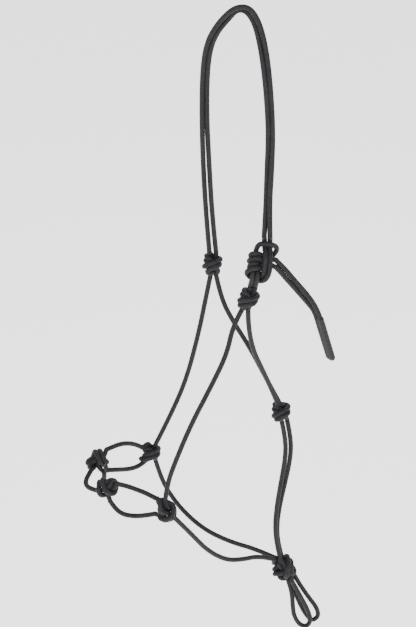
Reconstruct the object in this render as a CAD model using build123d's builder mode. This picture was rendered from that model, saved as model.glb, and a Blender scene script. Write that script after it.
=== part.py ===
"""Rope halter: one length of braided rope, 6.8 mm across, tied with nine knots.

The halter hangs from its crown.  Frame: origin where a hook carries the crown, +Z up,
the nose towards -X, the tie side towards -Y.  All sizes are in millimetres.
"""
from build123d import *

import os
from math import pi, radians, tan

# Driving dimensions
ROPE_D = 6.8
ROPE_R = ROPE_D / 2
KNOT_R = 12.5            # a double overhand knot, across
KNOT_LENGTH = 27.4       # the same knot, along its own axis
TIE_R = 15.0             # the wraps of the crown tie
TIE_LENGTH = 20.0
LOBE_R = 5.2             # one bulging wrap of a knot
BEND_SHARE = 0.45        # share of the shorter run that an arc takes up
LEAD_IN = 4.0            # straight rope that shows at a knot before it turns in

# The sleeve shrunk on to the doubled tail end
SLEEVE_LENGTH = 70.0
SLEEVE_WALL = 0.5
SLEEVE_GAP = 0.1
SLEEVE_POCKET = 20.0
SLEEVE_MOUTH = Vector(97, -58, -401)
SLEEVE_DIR = Vector(20, 3, -68).normalized()
SLEEVE_WIDE = Vector(0.60, -0.79, 0.14)
TAIL_SPACING = ROPE_D + 0.2
TAIL_LEAD = 10.0         # straight rope in front of the sleeve's mouth
TAIL_SEAT = 16.0         # rope inside the sleeve

# Knot centres
FAR_CHEEK = Vector(-26, 60, -371)
NEAR_CHEEK = Vector(4, -60, -365)
TIE = Vector(20, -64, -314)
THROAT = Vector(61, 0, -574)
FAR_SIDE = Vector(-111, 83, -677)
NEAR_SIDE = Vector(-109, -83, -668)
FAR_NOSE = Vector(-191, 38, -655)
NEAR_NOSE = Vector(-184, -38, -653)
LEAD = Vector(69, 0, -835)


def tail_end(side, distance):
    """A point on a tail's straight end, measured from the sleeve's mouth."""
    point = SLEEVE_MOUTH + SLEEVE_WIDE * (side * TAIL_SPACING / 2)
    return point + SLEEVE_DIR * distance


# Rope routes: the control points of each stretch between two knots
ROUTES = {
    "crown_rope_outer": [
        (-31, 60, -353), (-36, 55, -297), (-41, 47, -221), (-44, 38, -146), (-44, 30, -81),
        (-40, 22, -43), (-29, 15, -18), (-15, 8, 1), (-4, 2, 10), (9, -4, 11), (18, -10, 0),
        (25, -16, -20), (30, -24, -50), (34, -31, -95), (36, -38, -147), (33, -48, -197),
        (30, -54, -236), (30, -62, -274),
    ],
    "crown_rope_inner": [
        (-22, 60, -353), (-28, 54, -298), (-33, 47, -222), (-37, 38, -147), (-37, 30, -84),
        (-33, 23, -47), (-24, 18, -26), (-13, 14, -9), (-4, 9, 4), (7, 4, 4), (15, -4, -8),
        (19, -13, -27), (23, -24, -56), (27, -31, -99), (29, -38, -146), (27, -43, -199),
        (26, -48, -238), (23, -59, -275),
    ],
    "far_cheek_rope": [
        (-29, 61, -388), (-36, 63, -428), (-45, 66, -480), (-62, 70, -555), (-86, 75, -618),
        (-104, 81, -661),
    ],
    "near_cheek_rope": [
        (-6, -61, -381), (-18, -65, -402), (-26, -69, -440), (-48, -74, -485), (-75, -78, -538),
        (-97, -82, -592), (-108, -83, -625), (-111, -83, -651),
    ],
    "far_throat_rope": [
        (-22, 58, -388), (-16, 52, -421), (-1, 42, -452), (20, 28, -486), (39, 12, -524),
        (56, 4, -558),
    ],
    "near_throat_rope": [
        (3, -60, -382), (4, -55, -407), (13, -42, -452), (29, -26, -492), (45, -10, -534),
        (54, -4, -558),
    ],
    "throat_drop_front": [
        (61, -2, -590), (67, -2, -619), (67, -2, -650), (61, -3, -690), (56, -3, -728),
        (54, -3, -761), (57, -3, -792), (63, -3, -819),
    ],
    "throat_drop_rear": [
        (69, 1, -590), (75, 1, -620), (75, 1, -651), (69, 3, -690), (62, 4, -728),
        (58, 4, -764), (60, 4, -794), (66, 4, -819),
    ],
    "far_jaw_rope": [
        (-105, 83, -691), (-98, 80, -719), (-84, 74, -748), (-63, 62, -774), (-36, 48, -795),
        (-2, 32, -807), (28, 15, -809), (55, 4, -819),
    ],
    "near_jaw_rope": [
        (-99, -81, -680), (-76, -73, -713), (-51, -60, -753), (-23, -47, -781), (2, -35, -791),
        (29, -18, -799), (52, -6, -815),
    ],
    "near_nose_upper": [
        (-170, -46, -643), (-160, -50, -644), (-147, -56, -647), (-133, -64, -650),
        (-122, -71, -654),
    ],
    "near_nose_lower": [
        (-181, -46, -671), (-175, -49, -681), (-165, -53, -688), (-151, -59, -688),
        (-138, -67, -683), (-126, -74, -677),
    ],
    "far_nose_upper": [
        (-176, 44, -642), (-160, 52, -640), (-144, 62, -646), (-132, 70, -655),
        (-125, 76, -663),
    ],
    "far_nose_lower": [
        (-176, 45, -677), (-160, 53, -683), (-143, 64, -690), (-130, 73, -692),
        (-123, 77, -689),
    ],
    "nose_bridge_front": [
        (-202, 23, -662), (-209, 12, -666), (-212, -3, -666), (-208, -17, -665),
        (-199, -26, -663),
    ],
    "nose_bridge_rear": [
        (-184, 25, -667), (-184, 13, -664), (-186, -2, -660), (-188, -16, -657),
    ],
    "lead_loop_front": [
        (73, -2, -851), (78, -3, -867), (81, -4, -884), (82, -5, -902), (84, -6, -918),
        (92, -6, -934), (103, -6, -939), (109, -6, -929), (105, -6, -912), (97, -7, -893),
        (88, -8, -873), (80, -8, -856),
    ],
    "lead_loop_rear": [
        (83, 5, -849), (90, 5, -864), (99, 5, -881), (109, 5, -898), (119, 5, -914),
        (123, 5, -930), (113, 5, -938), (104, 5, -926), (96, 5, -909), (89, 5, -891),
        (83, 5, -873), (78, 5, -857),
    ],
    "tail_upper": [
        (39, -64, -310), (46, -64, -317), (55, -64, -329), (66, -63, -344), (83, -62, -367),
        tail_end(1, -TAIL_LEAD), tail_end(1, TAIL_SEAT),
    ],
    "tail_lower": [
        (39, -66, -322), (45, -65, -330), (53, -64, -341), (64, -62, -354), (79, -58, -374),
        tail_end(-1, -TAIL_LEAD), tail_end(-1, TAIL_SEAT / 2),
    ],
}

# The bight of the crown tie: up from the near cheek knot, over and back down
TIE_BIGHT = [
    (5, -60, -348), (8, -63, -325), (12, -66, -303), (24, -68, -286), (35, -66, -291),
    (30, -60, -306), (22, -60, -325), (13, -60, -348),
]


def corner_radii(points):
    """The radius of the arc at each inner point of a route."""
    radii = []
    for before, corner, after in zip(points, points[1:], points[2:]):
        run_in = corner - before
        run_out = after - corner
        turn = radians(run_in.get_angle(run_out))
        tangent = BEND_SHARE * min(run_in.length, run_out.length)
        radii.append(tangent / tan(turn / 2))
    return radii


def make_rope(label, route):
    """One stretch of rope: a round section swept along straight runs and tangent arcs."""
    points = [Vector(*point) for point in route]
    radii = corner_radii(points)
    with BuildPart() as rope:
        with BuildLine() as path:
            FilletPolyline(*points, radius=radii)
        with BuildSketch(Plane(path.line @ 0, z_dir=path.line % 0)):
            Circle(ROPE_R)
        sweep()
    length = sum(edge.length for edge in path.edges())
    expected = pi * ROPE_R**2 * length
    print(
        f"{label}: length {length:.0f}, volume ratio {rope.part.volume / expected:.3f},"
        f" radii {[round(radius) for radius in radii]}"
    )
    return rope


def knot_barrel(centre, axis, radius, length):
    """Three bulging wraps round a core, as one solid of revolution on the axis."""
    across = Vector(0, 0, 1).cross(axis) if abs(axis.normalized().Z) < 0.9 else Vector(1, 0, 0)
    offset = length / 2 - LOBE_R
    with BuildSketch(Plane(centre, x_dir=axis, z_dir=across)) as profile:
        with Locations((0, (radius - LOBE_R) / 2)):
            Rectangle(2 * offset, radius - LOBE_R)
        with Locations(*[(step * offset, radius - LOBE_R) for step in (-1, 0, 1)]):
            Circle(LOBE_R)
        with Locations((0, -radius)):
            Rectangle(2 * length, 2 * radius, mode=Mode.SUBTRACT)
    revolve(profile.sketch, axis=Axis(centre, axis))


def rope_exit(centre, start, towards):
    """The rope's own section from its exit face into the middle of a knot."""
    inward = (start - towards).normalized()
    bend = start + inward * LEAD_IN
    with BuildSketch(Plane(start, z_dir=inward)) as straight:
        Circle(ROPE_R)
    extrude(straight.sketch, amount=LEAD_IN)
    with Locations(bend):
        Sphere(ROPE_R)
    with BuildSketch(Plane(bend, z_dir=centre - bend)) as slanted:
        Circle(ROPE_R)
    extrude(slanted.sketch, amount=(centre - bend).length)


def route_end(label, last=False):
    """The end point of a route and the point beside it."""
    points = [Vector(*point) for point in ROUTES[label]]
    return (points[-1], points[-2]) if last else (points[0], points[1])


def make_knot(centre, axis, exits):
    """A tied knot with the rope ends that meet the stretches round it."""
    with BuildPart() as knot:
        knot_barrel(centre, Vector(*axis), KNOT_R, KNOT_LENGTH)
        for start, towards in exits:
            rope_exit(centre, start, towards)
    return knot


def make_tie():
    """The crown tie: wraps of the crown ropes round a bight from the near cheek knot."""
    bight = [Vector(*point) for point in TIE_BIGHT]
    with BuildPart() as tie:
        with BuildLine() as path:
            FilletPolyline(*bight, radius=corner_radii(bight))
        with BuildSketch(Plane(path.line @ 0, z_dir=path.line % 0)):
            Circle(ROPE_R)
        sweep()
        knot_barrel(TIE, Vector(0, 1, 0), TIE_R, TIE_LENGTH)
        for label in ("crown_rope_outer", "crown_rope_inner"):
            rope_exit(TIE, *route_end(label, last=True))
    return tie


def make_sleeve():
    """The flattened plastic sleeve, rounded at its closed end and open where the tails enter."""
    mouth = Plane(SLEEVE_MOUTH, x_dir=SLEEVE_WIDE, z_dir=SLEEVE_DIR)
    pocket_height = ROPE_D + 2 * SLEEVE_GAP
    height = pocket_height + 2 * SLEEVE_WALL
    with BuildPart() as sleeve:
        with BuildSketch(mouth):
            SlotCenterToCenter(TAIL_SPACING, height)
        extrude(amount=SLEEVE_LENGTH)
        fillet(sleeve.edges().sort_by(Axis(SLEEVE_MOUTH, SLEEVE_DIR))[-4:], SLEEVE_WALL * 2)
        with BuildSketch(mouth):
            SlotCenterToCenter(TAIL_SPACING, pocket_height)
        extrude(amount=SLEEVE_POCKET, mode=Mode.SUBTRACT)
    return sleeve


def write(label, builder):
    """Name a finished piece and write it as its own STEP file."""
    builder.part.label = label
    export_step(builder.part, f"parts/{label}.step")


os.makedirs("parts", exist_ok=True)

for name, route in ROUTES.items():
    write(name, make_rope(name, route))

tie_legs = [(Vector(*TIE_BIGHT[0]), Vector(*TIE_BIGHT[1]))]
tie_legs.append((Vector(*TIE_BIGHT[-1]), Vector(*TIE_BIGHT[-2])))

KNOTS = {
    "far_cheek_knot": (
        FAR_CHEEK,
        (0, 0, 1),
        [
            route_end("crown_rope_outer"),
            route_end("crown_rope_inner"),
            route_end("far_cheek_rope"),
            route_end("far_throat_rope"),
        ],
    ),
    "near_cheek_knot": (
        NEAR_CHEEK,
        (0, 0, 1),
        tie_legs + [route_end("near_cheek_rope"), route_end("near_throat_rope")],
    ),
    "throat_knot": (
        THROAT,
        (0, 0, 1),
        [
            route_end("far_throat_rope", last=True),
            route_end("near_throat_rope", last=True),
            route_end("throat_drop_front"),
            route_end("throat_drop_rear"),
        ],
    ),
    "far_side_knot": (
        FAR_SIDE,
        (0, 1, 0),
        [route_end("far_cheek_rope", last=True), route_end("far_jaw_rope")],
    ),
    "near_side_knot": (
        NEAR_SIDE,
        (0, 1, 0),
        [route_end("near_cheek_rope", last=True), route_end("near_jaw_rope")],
    ),
    "far_nose_knot": (
        FAR_NOSE,
        (0.85, 0.53, 0),
        [
            route_end("far_nose_upper"),
            route_end("far_nose_lower"),
            route_end("nose_bridge_front"),
            route_end("nose_bridge_rear"),
        ],
    ),
    "near_nose_knot": (
        NEAR_NOSE,
        (-0.85, 0.53, 0),
        [
            route_end("near_nose_upper"),
            route_end("near_nose_lower"),
            route_end("nose_bridge_front", last=True),
            route_end("nose_bridge_rear", last=True),
        ],
    ),
    "lead_knot": (
        LEAD,
        (0, 1, 0),
        [
            route_end("throat_drop_front", last=True),
            route_end("throat_drop_rear", last=True),
            route_end("far_jaw_rope", last=True),
            route_end("near_jaw_rope", last=True),
        ],
    ),
}

for name, (centre, axis, exits) in KNOTS.items():
    write(name, make_knot(centre, axis, exits))

write("tie_knot", make_tie())
write("tail_sleeve", make_sleeve())
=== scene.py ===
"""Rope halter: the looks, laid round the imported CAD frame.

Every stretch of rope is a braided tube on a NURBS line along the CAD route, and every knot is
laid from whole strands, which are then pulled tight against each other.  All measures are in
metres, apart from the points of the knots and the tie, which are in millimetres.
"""
import math

import bpy
import numpy as np
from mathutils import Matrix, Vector


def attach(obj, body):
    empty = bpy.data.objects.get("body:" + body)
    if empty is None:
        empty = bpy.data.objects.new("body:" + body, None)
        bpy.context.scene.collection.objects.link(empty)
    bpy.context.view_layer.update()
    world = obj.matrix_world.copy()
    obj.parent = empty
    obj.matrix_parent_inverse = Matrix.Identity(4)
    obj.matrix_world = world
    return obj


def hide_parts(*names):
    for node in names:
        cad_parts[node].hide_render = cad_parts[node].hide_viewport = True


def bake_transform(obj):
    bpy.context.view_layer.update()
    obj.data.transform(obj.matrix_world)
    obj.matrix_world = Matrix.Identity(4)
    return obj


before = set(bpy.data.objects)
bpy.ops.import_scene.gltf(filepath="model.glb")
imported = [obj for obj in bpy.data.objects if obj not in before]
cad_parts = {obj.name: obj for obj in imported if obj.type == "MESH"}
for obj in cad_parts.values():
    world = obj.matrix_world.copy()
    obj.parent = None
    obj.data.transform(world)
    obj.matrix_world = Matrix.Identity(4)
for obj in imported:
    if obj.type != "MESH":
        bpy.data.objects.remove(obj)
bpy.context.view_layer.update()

MM = 0.001
ROPE_D = 0.0068
RING_STEP = 0.0006       # between two rings of a rope's mesh
AROUND = 32              # points round a rope
CARRIERS = 8             # braid yarns in each direction
BRAID_PITCH = 0.0175     # one turn of a yarn
RELIEF = 0.00022         # how far the yarns stand out
RELIEF_GAIN = 1.4        # the tops of the yarns stand a little outside ROPE_D
YARN_EDGE = 0.7          # power of a yarn's round section; under 1 makes it fuller
YARN_SWELL = 0.3         # how much lower a yarn is where it goes under another
FILAMENTS = 9            # half waves of fine filament across a yarn
SIDE_GUIDE = (0.31, 0.17, 0.93)  # no rope starts along it, so its cross product is a side
UV_NAME = "braid"        # u once round a rope, v in metres along it
LINE_RESOLUTION = 48     # steps between two control points of a route
STRAND_STEP = 0.0021     # between two points of a strand while a knot is pulled tight
STRAND_SPACING = 0.0065  # how near two strands of a knot may come, 0.3 mm under ROPE_D
OWN_REACH = 1.6          # spacings along a strand within which it doesn't push itself

# The camera, and the directions it looks along
CAMERA_TARGET = Vector((-0.0412, 0, -0.4149))
CAMERA_DISTANCE = 2.70
CAMERA_AZIMUTH = math.radians(-8)
CAMERA_ELEVATION = math.radians(28)
CAMERA_LENS = 116.6
BACK = np.array([
    math.sin(CAMERA_AZIMUTH) * math.cos(CAMERA_ELEVATION),
    -math.cos(CAMERA_AZIMUTH) * math.cos(CAMERA_ELEVATION),
    math.sin(CAMERA_ELEVATION),
])
RIGHT = np.array([math.cos(CAMERA_AZIMUTH), math.sin(CAMERA_AZIMUTH), 0.0])
UP = np.cross(BACK, RIGHT)

# The ground, and the soft lights: place, size and power
GROUND_Z = -1.7
GROUND_SIZE = 60
LIGHTS = {
    "key": ((-1.1, -2.5, 1.7), 1.1, 150),
    "fill": ((2.2, -1.4, 0.6), 1.8, 30),
    "rim": ((0.8, 2.2, 1.2), 1.6, 30),
}

# The sleeve shrunk on to the doubled tail end, as in part.py
SLEEVE_MOUTH = np.array([0.097, -0.058, -0.401])
SLEEVE_DIR = np.array([20, 3, -68]) / np.linalg.norm([20, 3, -68])
SLEEVE_WIDE = np.array([0.60, -0.79, 0.14])
SLEEVE_LENGTH = 0.070
TAIL_SPACING = 0.0070    # between the middles of the two tails in the mouth
TAIL_LEAD = 0.010        # how far before the mouth the tails run straight
TAIL_SEAT = 0.016        # how deep tail_upper goes in; tail_lower goes half as deep


def tail_end(side, distance):
    """A point on a tail's straight end, measured from the sleeve's mouth."""
    point = SLEEVE_MOUTH + SLEEVE_WIDE * (side * TAIL_SPACING / 2)
    return tuple(point + SLEEVE_DIR * distance)


# Rope routes: part.py's control points, in metres.  Some points of crown_rope_inner, tail_upper
# and tail_lower are moved by up to 2 mm, to lie as they do in the photograph
ROUTES = {
    "crown_rope_outer": [
        (-0.031, 0.060, -0.353), (-0.036, 0.055, -0.297), (-0.041, 0.047, -0.221),
        (-0.044, 0.038, -0.146), (-0.044, 0.030, -0.081), (-0.040, 0.022, -0.043),
        (-0.029, 0.015, -0.018), (-0.015, 0.008, 0.001), (-0.004, 0.002, 0.010),
        (0.009, -0.004, 0.011), (0.018, -0.010, 0.0), (0.025, -0.016, -0.020),
        (0.030, -0.024, -0.050), (0.034, -0.031, -0.095), (0.036, -0.038, -0.147),
        (0.033, -0.048, -0.197), (0.030, -0.054, -0.236), (0.030, -0.062, -0.274),
    ],
    "crown_rope_inner": [
        (-0.022, 0.060, -0.353), (-0.028, 0.054, -0.298), (-0.033, 0.047, -0.222),
        (-0.0376, 0.038, -0.147), (-0.038, 0.030, -0.084), (-0.0343, 0.023, -0.047),
        (-0.0252, 0.018, -0.0248), (-0.013, 0.014, -0.009), (-0.004, 0.009, 0.004),
        (0.007, 0.004, 0.004), (0.0155, -0.004, -0.008), (0.0203, -0.013, -0.0265),
        (0.0244, -0.024, -0.056), (0.0283, -0.031, -0.099), (0.0302, -0.038, -0.146),
        (0.0279, -0.043, -0.199), (0.0265, -0.048, -0.238), (0.023, -0.059, -0.275),
    ],
    "far_cheek_rope": [
        (-0.029, 0.061, -0.388), (-0.036, 0.063, -0.428), (-0.045, 0.066, -0.480),
        (-0.062, 0.070, -0.555), (-0.086, 0.075, -0.618), (-0.104, 0.081, -0.661),
    ],
    "near_cheek_rope": [
        (-0.006, -0.061, -0.381), (-0.018, -0.065, -0.402), (-0.026, -0.069, -0.440),
        (-0.048, -0.074, -0.485), (-0.075, -0.078, -0.538), (-0.097, -0.082, -0.592),
        (-0.108, -0.083, -0.625), (-0.111, -0.083, -0.651),
    ],
    "far_throat_rope": [
        (-0.022, 0.058, -0.388), (-0.016, 0.052, -0.421), (-0.001, 0.042, -0.452),
        (0.020, 0.028, -0.486), (0.039, 0.012, -0.524), (0.056, 0.004, -0.558),
    ],
    "near_throat_rope": [
        (0.003, -0.060, -0.382), (0.004, -0.055, -0.407), (0.013, -0.042, -0.452),
        (0.029, -0.026, -0.492), (0.045, -0.010, -0.534), (0.054, -0.004, -0.558),
    ],
    "throat_drop_front": [
        (0.061, -0.002, -0.590), (0.067, -0.002, -0.619), (0.067, -0.002, -0.650),
        (0.061, -0.003, -0.690), (0.056, -0.003, -0.728), (0.054, -0.003, -0.761),
        (0.057, -0.003, -0.792), (0.063, -0.003, -0.819),
    ],
    "throat_drop_rear": [
        (0.069, 0.001, -0.590), (0.075, 0.001, -0.620), (0.075, 0.001, -0.651),
        (0.069, 0.003, -0.690), (0.062, 0.004, -0.728), (0.058, 0.004, -0.764),
        (0.060, 0.004, -0.794), (0.066, 0.004, -0.819),
    ],
    "far_jaw_rope": [
        (-0.105, 0.083, -0.691), (-0.098, 0.080, -0.719), (-0.084, 0.074, -0.748),
        (-0.063, 0.062, -0.774), (-0.036, 0.048, -0.795), (-0.002, 0.032, -0.807),
        (0.028, 0.015, -0.809), (0.055, 0.004, -0.819),
    ],
    "near_jaw_rope": [
        (-0.099, -0.081, -0.680), (-0.076, -0.073, -0.713), (-0.051, -0.060, -0.753),
        (-0.023, -0.047, -0.781), (0.002, -0.035, -0.791), (0.029, -0.018, -0.799),
        (0.052, -0.006, -0.815),
    ],
    "near_nose_upper": [
        (-0.170, -0.046, -0.643), (-0.160, -0.050, -0.644), (-0.147, -0.056, -0.647),
        (-0.133, -0.064, -0.650), (-0.122, -0.071, -0.654),
    ],
    "near_nose_lower": [
        (-0.181, -0.046, -0.671), (-0.175, -0.049, -0.681), (-0.165, -0.053, -0.688),
        (-0.151, -0.059, -0.688), (-0.138, -0.067, -0.683), (-0.126, -0.074, -0.677),
    ],
    "far_nose_upper": [
        (-0.176, 0.044, -0.642), (-0.160, 0.052, -0.640), (-0.144, 0.062, -0.646),
        (-0.132, 0.070, -0.655), (-0.125, 0.076, -0.663),
    ],
    "far_nose_lower": [
        (-0.176, 0.045, -0.677), (-0.160, 0.053, -0.683), (-0.143, 0.064, -0.690),
        (-0.130, 0.073, -0.692), (-0.123, 0.077, -0.689),
    ],
    "nose_bridge_front": [
        (-0.202, 0.023, -0.662), (-0.209, 0.012, -0.666), (-0.212, -0.003, -0.666),
        (-0.208, -0.017, -0.665), (-0.199, -0.026, -0.663),
    ],
    "nose_bridge_rear": [
        (-0.184, 0.025, -0.667), (-0.184, 0.013, -0.664), (-0.186, -0.002, -0.660),
        (-0.188, -0.016, -0.657),
    ],
    "lead_loop_front": [
        (0.073, -0.002, -0.851), (0.078, -0.003, -0.867), (0.081, -0.004, -0.884),
        (0.082, -0.005, -0.902), (0.084, -0.006, -0.918), (0.092, -0.006, -0.934),
        (0.103, -0.006, -0.939), (0.109, -0.006, -0.929), (0.105, -0.006, -0.912),
        (0.097, -0.007, -0.893), (0.088, -0.008, -0.873), (0.080, -0.008, -0.856),
    ],
    "lead_loop_rear": [
        (0.083, 0.005, -0.849), (0.090, 0.005, -0.864), (0.099, 0.005, -0.881),
        (0.109, 0.005, -0.898), (0.119, 0.005, -0.914), (0.123, 0.005, -0.930),
        (0.113, 0.005, -0.938), (0.104, 0.005, -0.926), (0.096, 0.005, -0.909),
        (0.089, 0.005, -0.891), (0.083, 0.005, -0.873), (0.078, 0.005, -0.857),
    ],
    "tail_upper": [
        (0.039, -0.064, -0.311), (0.046, -0.064, -0.3185), (0.055, -0.064, -0.330),
        (0.066, -0.063, -0.345), (0.083, -0.062, -0.367),
        tail_end(1, -TAIL_LEAD), tail_end(1, TAIL_SEAT),
    ],
    "tail_lower": [
        (0.039, -0.066, -0.3205), (0.045, -0.065, -0.328), (0.053, -0.064, -0.339),
        (0.064, -0.062, -0.3535), (0.079, -0.058, -0.374),
        tail_end(-1, -TAIL_LEAD), tail_end(-1, TAIL_SEAT / 2),
    ],
}


# ---------------------------------------------------------------- lines

def nurbs_line(name, points):
    """The smooth line of a route: a NURBS spline with its points as control points."""
    curve = bpy.data.curves.new(name, "CURVE")
    curve.dimensions = "3D"
    curve.resolution_u = LINE_RESOLUTION
    spline = curve.splines.new("NURBS")
    spline.points.add(len(points) - 1)
    for target, point in zip(spline.points, points):
        target.co = (*point, 1.0)
    spline.order_u = 3
    spline.use_endpoint_u = True
    carrier = bpy.data.objects.new(name, curve)
    mesh = bpy.data.meshes.new_from_object(carrier)
    line = np.array([vertex.co for vertex in mesh.vertices], float)
    bpy.data.meshes.remove(mesh)
    bpy.data.objects.remove(carrier)
    bpy.data.curves.remove(curve)
    return even(line, RING_STEP)


def even(line, step):
    """The same line with its points a fixed distance apart."""
    run = np.r_[0, np.cumsum(np.linalg.norm(np.diff(line, axis=0), axis=1))]
    stops = np.linspace(0, run[-1], max(8, round(run[-1] / step)) + 1)
    return np.stack([np.interp(stops, run, line[:, k]) for k in range(3)], axis=1)


def catmull(points, steps=12):
    """A smooth line through given points."""
    points = np.asarray(points, float)
    padded = np.vstack([2 * points[0] - points[1], points, 2 * points[-1] - points[-2]])
    t = np.linspace(0, 1, steps, endpoint=False)[:, None]
    spans = []
    for a, b, c, d in zip(padded, padded[1:], padded[2:], padded[3:]):
        spans.append(0.5 * (
            2 * b + (c - a) * t + (2 * a - 5 * b + 4 * c - d) * t**2
            + (3 * b - a - 3 * c + d) * t**3
        ))
    return np.vstack(spans + [points[-1:]])


def unit(vector):
    return vector / np.linalg.norm(vector)


# ---------------------------------------------------------------- braided tubes

def sweep_frames(line):
    """Tangents and a twist-free pair of side directions along a line."""
    tangents = np.gradient(line, axis=0)
    tangents /= np.linalg.norm(tangents, axis=1)[:, None]
    side = np.cross(tangents[0], SIDE_GUIDE)
    sides = []
    for tangent in tangents:
        side = unit(side - tangent * (side @ tangent))
        sides.append(side)
    sides = np.array(sides)
    return tangents, sides, np.cross(tangents, sides)


def braid_height(turn, run):
    """The braid's relief, 0 to 1: yarns of two directions go over and under each other."""
    left = CARRIERS * (turn + run / BRAID_PITCH)
    right = CARRIERS * (turn - run / BRAID_PITCH)
    over = (np.floor(left) + np.floor(right)) % 2 < 1
    across = np.where(over, left, right) % 1
    along = np.where(over, right, left) % 1
    swell = 1 - YARN_SWELL + YARN_SWELL * np.sin(np.pi * along)
    return np.sin(np.pi * across) ** YARN_EDGE * swell


def rope_mesh(name, lines):
    """One mesh of braided tubes with closed ends, round one or several lines."""
    verts, faces, coords = [], [], []
    ring = np.arange(AROUND)
    after = np.roll(ring, -1)
    turn = ring / AROUND
    angle = 2 * math.pi * turn
    first = 0
    for line in lines:
        tangents, side, other = sweep_frames(line)
        run = np.r_[0, np.cumsum(np.linalg.norm(np.diff(line, axis=0), axis=1))]
        out = (
            side[:, None] * np.cos(angle)[None, :, None]
            + other[:, None] * np.sin(angle)[None, :, None]
        )
        height = braid_height(turn[None, :], run[:, None])
        reach = ROPE_D / 2 - RELIEF + RELIEF_GAIN * RELIEF * height
        rings = line[:, None] + out * reach[:, :, None]
        count = len(line)
        tips = line[[0, -1]] - tangents[[0, -1]] * [[RELIEF], [-RELIEF]]
        verts += [rings.reshape(-1, 3), tips]
        base = first + np.arange(count - 1)[:, None] * AROUND
        below = base + AROUND
        quads = np.stack(
            [base + ring, base + after, below + after, below + ring], axis=2
        ).reshape(-1, 4)
        u = np.stack([turn, turn + 1 / AROUND, turn + 1 / AROUND, turn], axis=1)
        v = np.stack([run[:-1], run[:-1], run[1:], run[1:]], axis=1)
        quad_uv = np.stack(np.broadcast_arrays(u[None], v[:, None]), axis=3).reshape(-1, 2)
        tip = first + count * AROUND
        last = tip - AROUND
        start_cap = np.stack([first + after, first + ring, np.full(AROUND, tip)], axis=1)
        end_cap = np.stack([last + ring, last + after, np.full(AROUND, tip + 1)], axis=1)
        faces += quads.tolist() + start_cap.tolist() + end_cap.tolist()
        coords += [
            quad_uv,
            np.tile([[0.5, 0.0]], (3 * AROUND, 1)),
            np.tile([[0.5, run[-1]]], (3 * AROUND, 1)),
        ]
        first = tip + 2
    return finished(name, np.vstack(verts), faces, np.vstack(coords), ROPE)


def finished(name, verts, faces, coords, material):
    """A smooth-shaded object with its UVs and material, linked to the scene."""
    mesh = bpy.data.meshes.new(name)
    mesh.from_pydata(verts.tolist(), [], faces)
    layer = mesh.uv_layers.new(name=UV_NAME)
    layer.data.foreach_set("uv", np.asarray(coords, np.float32).ravel())
    mesh.polygons.foreach_set("use_smooth", [True] * len(mesh.polygons))
    mesh.materials.append(material)
    mesh.update()
    piece = bpy.data.objects.new(name, mesh)
    bpy.context.scene.collection.objects.link(piece)
    return piece


# ---------------------------------------------------------------- knots

def press(strands, pull=0.35, rounds=90, contacts=4):
    """Pull strands tight between their held ends, and push them apart where they touch."""
    strands = [even(strand, STRAND_STEP) for strand in strands]
    counts = [len(strand) for strand in strands]
    starts = np.cumsum([0] + counts[:-1])
    points = np.vstack(strands)
    owner = np.repeat(np.arange(len(counts)), counts)
    place = np.concatenate([np.arange(count) for count in counts])
    held = np.zeros(len(points), bool)
    for start, count in zip(starts, counts):
        held[start:start + 2] = held[start + count - 2:start + count] = True
    free = np.where(~held)[0]
    along = np.abs(place[:, None] - place) * STRAND_STEP
    beside = (owner[:, None] == owner) & (along < OWN_REACH * STRAND_SPACING)
    for _ in range(rounds):
        points[free] += 0.5 * pull * (points[free - 1] + points[free + 1] - 2 * points[free])
        for _ in range(contacts):
            apart = points[:, None] - points
            distance = np.sqrt((apart**2).sum(2)) + 1e-9
            touching = (distance < STRAND_SPACING) & ~beside
            overlap = np.where(touching, STRAND_SPACING - distance, 0.0)
            share = np.sqrt(np.maximum(1, (overlap > 0).sum(1)))
            push = (0.5 * (overlap / distance)[:, :, None] * apart).sum(1) / share[:, None]
            points[free] += push[free]
    return [even(catmull(points[a:a + n], 4), RING_STEP) for a, n in zip(starts, counts)]


def turned(axis, degrees):
    """The matrix of a turn about a unit axis."""
    a = np.asarray(axis, float)
    t = math.radians(degrees)
    cross = np.array([[0, -a[2], a[1]], [a[2], 0, -a[0]], [-a[1], a[0], 0]])
    return np.eye(3) + math.sin(t) * cross + (1 - math.cos(t)) * cross @ cross


def knot_axes(roll=0, pitch=0, yaw=0):
    """Columns: a knot's own right, up and front, turned from those of the view."""
    local = turned((0, 0, 1), roll) @ turned((1, 0, 0), pitch) @ turned((0, 1, 0), yaw)
    return np.stack([RIGHT, UP, BACK], axis=1) @ local


def placed(points, centre, axes):
    """A knot's own points (mm: right, up, front) as points of the model."""
    return [centre + axes @ np.multiply(point, MM) for point in points]


def strand_of(pair, side):
    """One strand of a pair, which lies to one side (1 or -1) of the pair's middle line."""
    return [np.add(point, np.multiply(side, offset)) for point, offset in pair]


def into_knot(end, beside):
    """A rope's end at a knot, and the direction into the knot."""
    return np.array(end), unit(np.subtract(end, beside))


def start_of(name):
    """Where a route leaves the knot at its start, and the direction into that knot."""
    return into_knot(ROUTES[name][0], ROUTES[name][1])


def end_of(name):
    """Where a route meets the knot at its end, and the direction into that knot."""
    return into_knot(ROUTES[name][-1], ROUTES[name][-2])


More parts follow.
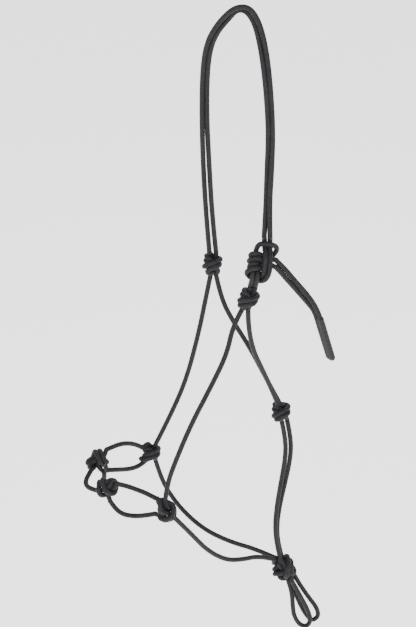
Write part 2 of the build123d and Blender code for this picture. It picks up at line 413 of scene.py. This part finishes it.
# A double overhand knot: points of the pair's middle line (mm: right, up, front), and how far
# the first of the two strands lies from it; the second lies as far on the other side
OVERHAND = [
    ((1, 8, 1), (3, 0, 0)), ((1.5, 0, -1.5), (3, 0, 0)), ((0, -7, -3), (3, -0.5, 0)),
    ((-7, -10, -2), (1, -3, -0.5)), ((-13, -6, 2), (-1, -3, 0)), ((-8, -4, 8), (0, -3, 0)),
    ((1, -2.5, 10), (0, -3, 0)), ((9, 0, 7), (0, -3, 0)), ((12.5, 2.5, 0), (0, -3, 0)),
    ((8, 4, -8), (0, -3, 0)), ((-1, 5, -10), (0, -3, 0)), ((-9, 7, -6), (0, -3, 0)),
    ((-12.5, 8, 1), (0, -3, 0)), ((-7, 7, 6.5), (0.5, -3, 0.5)),
    ((-2, 2, 4.5), (-2.6, -1.5, 0)), ((-1, -6, 3.5), (-3, 0, 0)),
]


def joined(start, middle, end, lead=2.5 * MM):
    """A strand from a rope's end, straight for a lead, through a knot's points to another's."""
    (a, into_a), (b, into_b) = start, end
    return catmull([a, a + into_a * lead, *middle, b + into_b * lead, b])


def overhand(centre, ins, outs, through=(), lead=2.5, **turn):
    """The strands of a double overhand knot between two pairs of rope ends."""
    centre, axes = np.array(centre), knot_axes(**turn)
    strands = []
    for side, start, end in zip((1, -1), ins, outs):
        middle = placed(strand_of(OVERHAND, side), centre, axes)
        strands.append(joined(start, middle, end, lead * MM))
    for start, end, middle in through:
        strands.append(joined(start, placed(middle, centre, axes), end))
    return press(strands)


# Where the two legs of the tie's bight go into near_cheek_knot, and in which direction
TIE_LEG_LEFT = (np.array([0.0053, -0.060, -0.348]), unit(np.array([-0.12, 0, -1.0])))
TIE_LEG_RIGHT = (np.array([0.0121, -0.060, -0.348]), unit(np.array([-0.2, 0, -1.0])))

# What each overhand knot joins: its middle, its turn from the view's axes in degrees, the ends
# that the pair comes in by and goes out by, and the strands that only pass through
KNOTS = {
    "near_cheek_knot": dict(
        centre=(0.004, -0.060, -0.365), roll=-8, pitch=12,
        ins=[TIE_LEG_RIGHT, TIE_LEG_LEFT],
        outs=[start_of("near_cheek_rope"), start_of("near_throat_rope")],
    ),
    "far_cheek_knot": dict(
        centre=(-0.026, 0.060, -0.371), roll=3,
        ins=[start_of("crown_rope_inner"), start_of("crown_rope_outer")],
        outs=[start_of("far_cheek_rope"), start_of("far_throat_rope")],
    ),
    "near_side_knot": dict(
        centre=(-0.108, -0.083, -0.668), roll=10, pitch=75, lead=5,
        ins=[end_of("near_cheek_rope"), end_of("near_nose_upper")],
        outs=[end_of("near_nose_lower"), start_of("near_jaw_rope")],
    ),
    "far_side_knot": dict(
        centre=(-0.110, 0.083, -0.678), roll=8,
        ins=[end_of("far_cheek_rope"), end_of("far_nose_upper")],
        outs=[end_of("far_nose_lower"), start_of("far_jaw_rope")],
    ),
    "near_nose_knot": dict(
        centre=(-0.185, -0.038, -0.652), roll=-92, pitch=25,
        ins=[start_of("near_nose_upper"), end_of("nose_bridge_rear")],
        outs=[start_of("near_nose_lower"), end_of("nose_bridge_front")],
    ),
    "far_nose_knot": dict(
        centre=(-0.192, 0.038, -0.652), roll=-86, yaw=180, lead=6,
        ins=[start_of("far_nose_lower"), start_of("far_nose_upper")],
        outs=[start_of("nose_bridge_front"), start_of("nose_bridge_rear")],
    ),
    "throat_knot": dict(
        centre=(0.061, 0, -0.574), roll=8, pitch=5,
        ins=[end_of("near_throat_rope"), end_of("far_throat_rope")],
        outs=[start_of("throat_drop_front"), start_of("throat_drop_rear")],
    ),
    "lead_knot": dict(
        centre=(0.069, 0, -0.835), roll=-105, yaw=180,
        ins=[end_of("throat_drop_rear"), end_of("throat_drop_front")],
        outs=[start_of("lead_loop_front"), start_of("lead_loop_rear")],
        through=[
            (end_of("far_jaw_rope"), end_of("lead_loop_rear"), [(0, 0, 0)]),
            (end_of("near_jaw_rope"), end_of("lead_loop_front"), [(0, 0, 4)]),
        ],
    ),
}

# The crown tie (mm: right, up and front of its middle): one rope's bight rises from the near
# cheek knot; the crown pair comes down through it, turns twice round its legs and tucks
# under itself
TIE_MIDDLE = np.array([0.0165, -0.0635, -0.3165])
BIGHT = [
    (-9.5, -20, 4.5), (-8.5, -12, 7), (-7, -3, 4), (-5.5, 8, 1), (-4, 17, 3), (-4.5, 27, 5.5),
    (0, 31.5, 8), (10, 29.5, 8.5), (19, 28, 7), (26, 22.5, 0), (20.5, 15.5, -5), (12, 10, -5),
    (5, 3, -3), (0, -4, 2), (-2, -12, 7), (-3.5, -20, 4.5),
]
PAIR = [
    ((10, 30, -1), (3.7, 0, 0)), ((10, 22, 1), (3.5, 0, 0)), ((10, 14, 7), (3.4, 0, 0)),
    ((10, 2, 11), (3.4, 0, 0)), ((9.5, -8, 9), (3.4, 0, 0)), ((6.5, -16, 3), (2.2, -2.8, 0)),
    ((-1, -18, -8), (0, -3.3, 0)), ((-10, -13, -9), (-2, -2.7, 0)),
    ((-16.5, -6, -1), (-2.8, -1.6, 0)), ((-13, 0, 5), (-1, -3, 0)), ((-5, 1.5, 7), (0, -3, 0)),
    ((3, 1.5, 2), (0, -3, 0)), ((4, 4, -6), (0, -3, 0)), ((-5, 7, -8), (0, -3, 0)),
    ((-15.5, 8, -2), (-1, -3, 0)), ((-12, 12, 5), (0, -3, 0)), ((-4, 12, 6.5), (0, -3, 0)),
    ((4, 8, 3), (0, -3.3, 0)),
]


def crown_tie():
    """The strands of the crown tie."""
    axes = knot_axes()
    strands = [joined(
        (TIE_LEG_LEFT[0], -TIE_LEG_LEFT[1]),
        placed(BIGHT, TIE_MIDDLE, axes),
        (TIE_LEG_RIGHT[0], -TIE_LEG_RIGHT[1]),
    )]
    for side, start, end in (
        (1, end_of("crown_rope_outer"), start_of("tail_lower")),
        (-1, end_of("crown_rope_inner"), start_of("tail_upper")),
    ):
        middle = placed(strand_of(PAIR, side), TIE_MIDDLE, axes)
        strands.append(joined(start, middle, end))
    return press(strands, pull=0.2)


# ---------------------------------------------------------------- materials

def node(tree, kind, operation=None, **sockets):
    """Add a node.  A socket is called by its name or i0, i1..., and gets a value or a link."""
    made = tree.nodes.new(kind)
    if operation:
        made.operation = operation
    for key, value in sockets.items():
        numbered = key[0] == "i" and key[1:].isdigit()
        socket = made.inputs[int(key[1:]) if numbered else key]
        if isinstance(value, bpy.types.NodeSocket):
            tree.links.new(value, socket)
        else:
            socket.default_value = value
    return made


def maths(tree, operation, a, b=0.0):
    """The output of a Math node."""
    return node(tree, "ShaderNodeMath", operation, i0=a, i1=b).outputs[0]


def new_material(name):
    """An empty node material, its tree and its Principled shader."""
    material = bpy.data.materials.new(name)
    material.use_nodes = True
    tree = material.node_tree
    shader = next(n for n in tree.nodes if n.type == "BSDF_PRINCIPLED")
    return material, tree, shader


def braid_uv(tree):
    """The UVs that run round and along a rope or the sleeve."""
    uv = node(tree, "ShaderNodeUVMap")
    uv.uv_map = UV_NAME
    return uv.outputs[0]


def object_noise(tree, **sockets):
    """The grey output of a noise fixed to the object's own space."""
    place = node(tree, "ShaderNodeTexCoord").outputs["Object"]
    return node(tree, "ShaderNodeTexNoise", Vector=place, **sockets).outputs[0]


def grey(level):
    return (level, level, level)


def ramp(tree, factor, *stops):
    """A colour ramp over stops, each a position and a colour."""
    made = node(tree, "ShaderNodeValToRGB", i0=factor)
    elements = made.color_ramp.elements
    while len(elements) < len(stops):
        elements.new(0.5)
    for element, (position, colour) in zip(elements, stops):
        element.position = position
        element.color = (*colour, 1.0)
    return made.outputs[0]


ABOVE_ZERO = 10000.0     # keeps the count of cells positive, for the modulo


def braided_rope():
    """Charcoal polyester: yarns of a diamond braid, each made of fine filaments. Its colour
    paints shade into the gaps between the yarns and a highlight on their crowns.
    """
    material, tree, shader = new_material("charcoal_braid")
    split = node(tree, "ShaderNodeSeparateXYZ", i0=braid_uv(tree))
    turn = maths(tree, "MULTIPLY", split.outputs[0], CARRIERS)
    run = maths(tree, "MULTIPLY", split.outputs[1], CARRIERS / BRAID_PITCH)
    left = maths(tree, "ADD", turn, run)
    right = maths(tree, "ADD", maths(tree, "SUBTRACT", turn, run), ABOVE_ZERO)
    cell = maths(tree, "ADD", maths(tree, "FLOOR", left), maths(tree, "FLOOR", right))
    under = maths(tree, "GREATER_THAN", maths(tree, "MODULO", cell, 2.0), 0.5)
    left_part, right_part = maths(tree, "FRACT", left), maths(tree, "FRACT", right)
    difference = maths(tree, "SUBTRACT", right_part, left_part)
    across = maths(tree, "ADD", left_part, maths(tree, "MULTIPLY", difference, under))
    along = maths(tree, "SUBTRACT", right_part, maths(tree, "MULTIPLY", difference, under))
    crown = maths(tree, "SINE", maths(tree, "MULTIPLY", across, math.pi))
    swell = maths(tree, "SINE", maths(tree, "MULTIPLY", along, math.pi))
    swell = maths(tree, "ADD", maths(tree, "MULTIPLY", swell, YARN_SWELL), 1 - YARN_SWELL)
    yarn = maths(tree, "MULTIPLY", maths(tree, "POWER", crown, YARN_EDGE), swell)
    filament = maths(tree, "SINE", maths(tree, "MULTIPLY", across, math.pi * FILAMENTS))
    wear = object_noise(tree, Scale=55.0, Detail=4.0, Roughness=0.6)
    fuzz = object_noise(tree, Scale=2600.0, Detail=2.0)
    # Colour mix: the yarn relief paints shade into the gaps and where a yarn dips under
    # another, and a highlight on each yarn's crown. The filament term paints fine sheen lines,
    # fuzz adds real random tone, and wear adds real blotches.
    shade = maths(tree, "ADD", maths(tree, "MULTIPLY", yarn, 0.78),
                  maths(tree, "MULTIPLY", filament, 0.05))
    shade = maths(tree, "ADD", shade, maths(tree, "MULTIPLY", fuzz, 0.12))
    painted_shade_and_wear = maths(tree, "ADD", shade, maths(tree, "MULTIPLY", wear, 0.22))
    # The ramp's darkest stops are the painted shade of the gaps, and its brightest stop is the
    # painted highlight of the yarn crowns.
    colour = ramp(
        tree, painted_shade_and_wear,
        (0.28, (0.0008, 0.0007, 0.0008)), (0.62, (0.0048, 0.0043, 0.0050)),
        (0.86, (0.0200, 0.0180, 0.0206)), (1.0, (0.062, 0.056, 0.064)),
    )
    tree.links.new(colour, shader.inputs["Base Color"])
    rough = ramp(tree, wear, (0.3, grey(0.42)), (0.7, grey(0.56)))
    tree.links.new(rough, shader.inputs["Roughness"])
    height = maths(tree, "ADD", yarn, maths(tree, "MULTIPLY", filament, 0.14))
    height = maths(tree, "ADD", height, maths(tree, "MULTIPLY", fuzz, 0.10))
    bump = node(tree, "ShaderNodeBump", Height=height, Strength=0.7, Distance=0.0003)
    tree.links.new(bump.outputs[0], shader.inputs["Normal"])
    shader.inputs["Specular IOR Level"].default_value = 0.15
    shader.inputs["Sheen Weight"].default_value = 0.03
    shader.inputs["Sheen Roughness"].default_value = 0.45
    shader.inputs["Sheen Tint"].default_value = (0.75, 0.72, 0.76, 1.0)
    return material


def shrunk_plastic():
    """Dark grey heat-shrink sleeve with faint drawn lines and scuffs."""
    material, tree, shader = new_material("grey_shrink_sleeve")
    stretched = node(tree, "ShaderNodeMapping", i0=braid_uv(tree), Scale=(60.0, 220.0, 1.0))
    lines = node(
        tree, "ShaderNodeTexNoise", Vector=stretched.outputs[0], Scale=1.0, Detail=3.0
    ).outputs[0]
    grain = object_noise(tree, Scale=1500.0, Detail=3.0)
    scuffs = object_noise(tree, Scale=160.0, Detail=5.0, Roughness=0.65)
    tone = maths(tree, "ADD", maths(tree, "MULTIPLY", scuffs, 0.6),
                 maths(tree, "MULTIPLY", lines, 0.4))
    colour = ramp(
        tree, tone,
        (0.30, (0.010, 0.010, 0.011)), (0.52, (0.017, 0.017, 0.019)),
        (0.75, (0.028, 0.028, 0.030)),
    )
    tree.links.new(colour, shader.inputs["Base Color"])
    rough = ramp(tree, scuffs, (0.3, grey(0.38)), (0.7, grey(0.55)))
    tree.links.new(rough, shader.inputs["Roughness"])
    height = maths(tree, "ADD", lines, maths(tree, "MULTIPLY", grain, 0.5))
    bump = node(tree, "ShaderNodeBump", Height=height, Strength=0.25, Distance=0.0002)
    tree.links.new(bump.outputs[0], shader.inputs["Normal"])
    shader.inputs["Specular IOR Level"].default_value = 0.15
    return material


def backdrop_paint():
    """Nearly white and faintly lit, so that the ground stays in the background."""
    material, tree, shader = new_material("studio_white")
    cloud = object_noise(tree, Scale=0.8)
    colour = ramp(tree, cloud, (0.3, grey(0.93)), (0.7, grey(0.95)))
    tree.links.new(colour, shader.inputs["Base Color"])
    shader.inputs["Roughness"].default_value = 0.9
    shader.inputs["Emission Color"].default_value = (1.0, 1.0, 1.0, 1.0)
    shader.inputs["Emission Strength"].default_value = 1.6
    shader.inputs["Specular IOR Level"].default_value = 0.1
    return material


# ---------------------------------------------------------------- camera, light, ground

SKY_STRENGTH = 0.7

camera_data = bpy.data.cameras.new("camera")
camera_data.lens = CAMERA_LENS
camera = bpy.data.objects.new("camera", camera_data)
camera.location = CAMERA_TARGET + Vector(BACK) * CAMERA_DISTANCE
camera.rotation_euler = Vector(BACK).to_track_quat("Z", "Y").to_euler()
bpy.context.scene.collection.objects.link(camera)
bpy.context.scene.camera = camera

world = bpy.data.worlds.new("studio")
world.use_nodes = True
sky = world.node_tree.nodes["Background"]
sky.inputs["Color"].default_value = (1.0, 1.0, 1.0, 1.0)
sky.inputs["Strength"].default_value = SKY_STRENGTH
bpy.context.scene.world = world


def area_light(name, place, size, power):
    """A square soft light aimed at the middle of the part."""
    data = bpy.data.lights.new(name, "AREA")
    data.size, data.energy = size, power
    light = bpy.data.objects.new(name, data)
    light.location = place
    light.rotation_euler = (Vector(place) - CAMERA_TARGET).to_track_quat("Z", "Y").to_euler()
    bpy.context.scene.collection.objects.link(light)


for name, (place, size, power) in LIGHTS.items():
    area_light(name, place, size, power)

bpy.ops.mesh.primitive_plane_add(size=GROUND_SIZE, location=(0, 0, GROUND_Z))
ground = bpy.context.object
ground.name = "ground"
ground.data.materials.append(backdrop_paint())

# ---------------------------------------------------------------- the stretches of rope

ROPE = braided_rope()
SLEEVE = shrunk_plastic()

# Ropes that cross a joint: the moving body, the end of the route that stays with the headstall,
# and the length from there over which the rope turns.  Here these ropes are only baked in
# place; none of them is attached or bent
BENDING = {
    "near_nose_upper": ("noseband", "last", 0.030),
    "near_nose_lower": ("noseband", "last", 0.030),
    "far_nose_upper": ("noseband", "last", 0.030),
    "far_nose_lower": ("noseband", "last", 0.030),
    "tail_upper": ("tail", "first", 0.035),
    "tail_lower": ("tail", "first", 0.035),
    "lead_loop_front": ("lead_loop_a", "first", 0.030),
    "lead_loop_rear": ("lead_loop_b", "first", 0.030),
}
# What rides on the noseband as a whole.  The other ropes outside BENDING, and the other knots,
# ride on the headstall
ON_NOSEBAND = ("nose_bridge_front", "nose_bridge_rear", "near_nose_knot", "far_nose_knot")

for name, points in ROUTES.items():
    line = nurbs_line(name, points)
    piece = rope_mesh(name + "_braid", [line])
    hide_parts(name)
    if name in BENDING:
        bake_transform(piece)
    else:
        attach(piece, "noseband" if name in ON_NOSEBAND else "headstall")

# ---------------------------------------------------------------- the knots and the tie

for name, recipe in KNOTS.items():
    piece = rope_mesh(name + "_braid", overhand(**recipe))
    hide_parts(name)
    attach(piece, "noseband" if name in ON_NOSEBAND else "headstall")

tie = rope_mesh("tie_knot_braid", crown_tie())
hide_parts("tie_knot")
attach(tie, "headstall")

# ---------------------------------------------------------------- the sleeve

SLEEVE_RINGS = 110
SLEEVE_AROUND = 64
SLEEVE_HALF_WIDE = TAIL_SPACING / 2 + 0.0040
SLEEVE_HALF_THICK = 0.0040
SLEEVE_WALL = 0.0006
INSIDE_RINGS = 22        # the wall's inside is built down to this ring, at every second one
CLOSING = 0.10           # the part of the length over which the end closes
SECTION_POWERS = (0.72, 0.8)     # of cosine and sine: under 1 makes the oval boxier
GROOVE_DEPTH = 0.34              # of the half thickness, at the mouth
GROOVE_FADE = 0.35               # the part of the length over which it fades
GROOVE_HALF_WIDE = 0.0021


def sleeve_ring(part, inset=0.0):
    """A ring of the sleeve at a part of its length, drawn in where it is the wall's inside."""
    closed = max(0.0, (part - (1 - CLOSING)) / CLOSING)
    rounding = math.sqrt(max(0.0, 1 - closed**2))
    flatness = 1 - 0.10 * part - 0.25 * closed
    groove = GROOVE_DEPTH * math.exp(-part / GROOVE_FADE)
    run = part * SLEEVE_LENGTH
    ripple = 1 + 0.012 * math.sin(run * 900) + 0.008 * math.sin(run * 2300 + 1.3)

    angle = 2 * math.pi * np.arange(SLEEVE_AROUND) / SLEEVE_AROUND
    c, s = np.cos(angle), np.sin(angle)
    x = SLEEVE_HALF_WIDE * np.sign(c) * np.abs(c) ** SECTION_POWERS[0]
    waist = 1 - groove * np.exp(-(x / GROOVE_HALF_WIDE) ** 2)
    y = SLEEVE_HALF_THICK * np.sign(s) * np.abs(s) ** SECTION_POWERS[1] * flatness * waist
    x = x * (0.10 + 0.90 * rounding) * ripple - inset * c
    y = y * (0.16 + 0.84 * rounding) * ripple - inset * s

    wide = unit(SLEEVE_WIDE - SLEEVE_DIR * (SLEEVE_WIDE @ SLEEVE_DIR))
    thick = np.cross(SLEEVE_DIR, wide)
    return SLEEVE_MOUTH + SLEEVE_DIR * run + np.outer(x, wide) + np.outer(y, thick)


def sleeve_mesh():
    """The sleeve: drawn over two ropes at its mouth, flattening to a rounded, sealed end."""
    inside = [
        sleeve_ring(k / SLEEVE_RINGS, SLEEVE_WALL) for k in range(INSIDE_RINGS, -1, -2)
    ]
    outside = [sleeve_ring(k / SLEEVE_RINGS) for k in range(SLEEVE_RINGS + 1)]
    rings = inside + outside
    verts = np.vstack(rings + [rings[0].mean(0)[None], rings[-1].mean(0)[None]])
    ring = np.arange(SLEEVE_AROUND)
    after = np.roll(ring, -1)
    faces, coords = [], []
    for k in range(len(rings) - 1):
        a, b = k * SLEEVE_AROUND, (k + 1) * SLEEVE_AROUND
        faces += np.stack([a + ring, b + ring, b + after, a + after], axis=1).tolist()
        v0, v1 = k * RING_STEP, (k + 1) * RING_STEP
        for j in range(SLEEVE_AROUND):
            u0, u1 = j / SLEEVE_AROUND, (j + 1) / SLEEVE_AROUND
            coords += [(u0, v0), (u0, v1), (u1, v1), (u1, v0)]
    tip = len(rings) * SLEEVE_AROUND
    last = tip - SLEEVE_AROUND
    faces += [[r, n, tip] for r, n in zip(ring, after)]
    faces += [[last + n, last + r, tip + 1] for r, n in zip(ring, after)]
    coords += [(0.5, 0.0)] * (6 * SLEEVE_AROUND)
    return finished("tail_sleeve_shrunk", verts, faces, coords, SLEEVE)


sleeve = sleeve_mesh()
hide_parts("tail_sleeve")
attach(sleeve, "tail")
